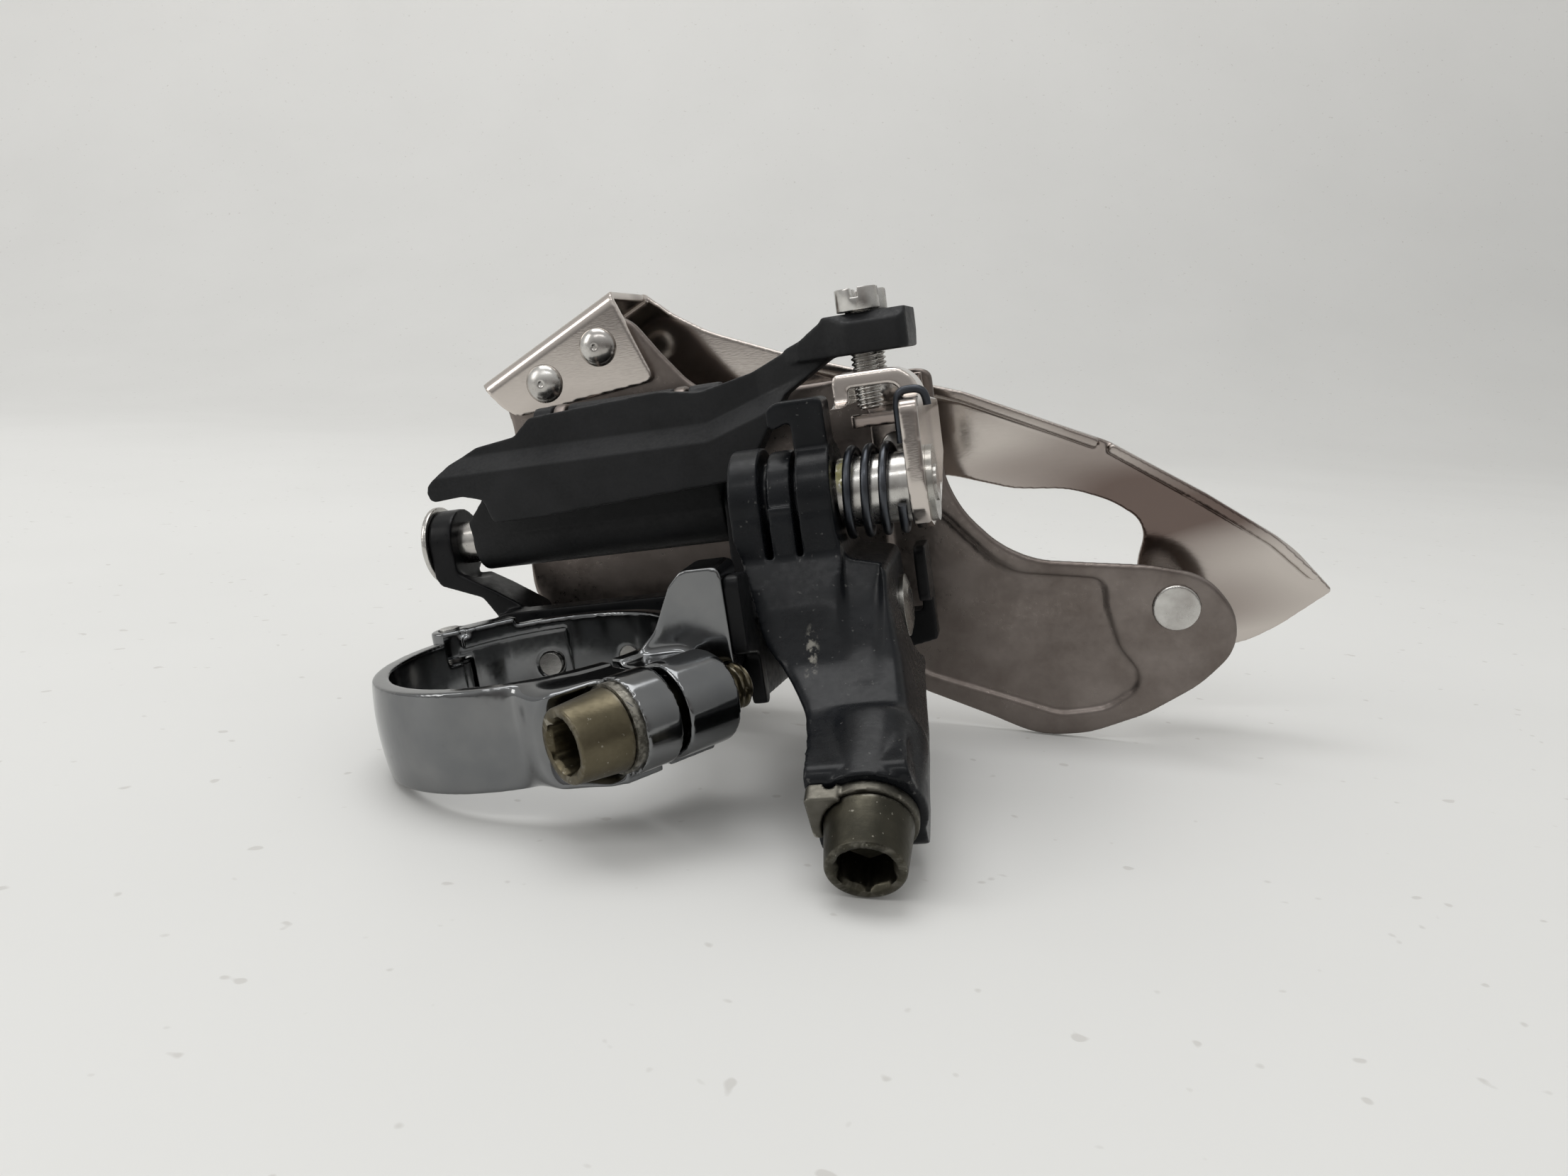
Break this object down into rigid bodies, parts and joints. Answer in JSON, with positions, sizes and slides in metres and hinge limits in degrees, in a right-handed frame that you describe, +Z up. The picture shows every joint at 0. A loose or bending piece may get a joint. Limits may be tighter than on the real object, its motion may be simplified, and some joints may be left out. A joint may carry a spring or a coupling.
{
  "type": "front derailleur",
  "caption": "Band-clamp front derailleur with a cable arm, a swing linkage, limit screws and a two-plate cage.",
  "frame": {"origin": "on the clamp's axis, near half its height", "axes": "+Z up the seat tube, +X to the rear of the bicycle, +Y outboard towards the chainrings"},
  "size_m": [0.1197, 0.0747, 0.0664],
  "materials": {
    "clamp_metal": "polished dark gunmetal",
    "arm_black": "gloss black",
    "base_black": "satin black",
    "link_black": "matte black, moulded",
    "bright_nickel": "polished",
    "satin_steel": "satin, warm grey",
    "bolt_bronze": "dull olive bronze plating",
    "worn_steel": "dark, worn",
    "silver": "zinc plated",
    "spring_steel": "blue-grey wire"
  },
  "bodies": {
    "fixed": {"clamp_body": "clamp_metal", "clamp_hinge_pin": "silver", "link_base": "base_black", "base_rivets": "silver", "arm_pivot_pin": "silver", "arm_pivot_clip": "worn_steel", "rear_pivot_pin": "silver", "rear_pivot_cap": "silver", "rear_pivot_bush": "silver"},
    "clamp_band": {"clamp_band": "clamp_metal"},
    "clamp_bolt": {"clamp_bolt": "bolt_bronze", "clamp_washer": "worn_steel"},
    "inner_link": {"inner_link": "arm_black", "cable_plate": "worn_steel"},
    "cable_bolt": {"cable_bolt": "bolt_bronze"},
    "outer_link": {"outer_link": "link_black", "hanger_pin": "silver"},
    "low_limit_screw": {"low_limit_screw": "silver"},
    "high_limit_screw": {"high_limit_screw": "silver"},
    "cage": {"inner_cage_plate": "satin_steel", "outer_cage_plate": "bright_nickel", "cage_ear": "bright_nickel", "cage_pivot_pin": "silver", "cage_pivot_sleeve": "silver", "cage_pivot_clip": "worn_steel", "return_spring": "spring_steel", "front_rivets": "silver", "ear_rivets": "silver", "tail_spacer": "silver", "tail_rivet": "silver"}
  },
  "joints": [
    {"name": "arm_swing", "type": "hinge", "parent": "fixed", "child": "inner_link", "pos_m": [0.036, 0.0105, 0.0042], "axis": [-1, 0, 0], "range_deg": [0, 42], "stiffness_Nm_per_rad": 0.15, "springref_deg": -51.57, "deforming": ["return_spring"]},
    {"name": "cage_pivot", "type": "hinge", "parent": "inner_link", "child": "cage", "pos_m": [0.036, 0.0075, 0.0182], "axis": [-1, 0, 0], "range_deg": [-42, 0]},
    {"name": "outer_link_swing", "type": "hinge", "parent": "fixed", "child": "outer_link", "pos_m": [0, 0.0265, 0.0157], "axis": [-1, 0, 0], "range_deg": [0, 42]},
    {"name": "band_hinge", "type": "hinge", "parent": "fixed", "child": "clamp_band", "pos_m": [-0.01583, 0.01068, 0], "axis": [0, 0, -1], "range_deg": [0, 3]},
    {"name": "clamp_bolt_travel", "type": "slide", "parent": "fixed", "child": "clamp_bolt", "axis": [-0.6157, -0.788, 0], "range_m": [0, 0.00255]},
    {"name": "cable_bolt_travel", "type": "slide", "parent": "inner_link", "child": "cable_bolt", "axis": [0, -0.9063, -0.4226], "range_m": [0, 0.002]},
    {"name": "low_screw_travel", "type": "slide", "parent": "outer_link", "child": "low_limit_screw", "axis": [0, 0, 1], "range_m": [0, 0.0025]},
    {"name": "high_screw_travel", "type": "slide", "parent": "outer_link", "child": "high_limit_screw", "axis": [0, 0, 1], "range_m": [0, 0.0025]}
  ],
  "couplings": [
    {"joint": "cage_pivot", "follows": "arm_swing", "ratio": -1},
    {"joint": "outer_link_swing", "follows": "arm_swing", "ratio": 1},
    {"joint": "band_hinge", "follows": "clamp_bolt_travel", "rad_per_m": 20.53}
  ]
}
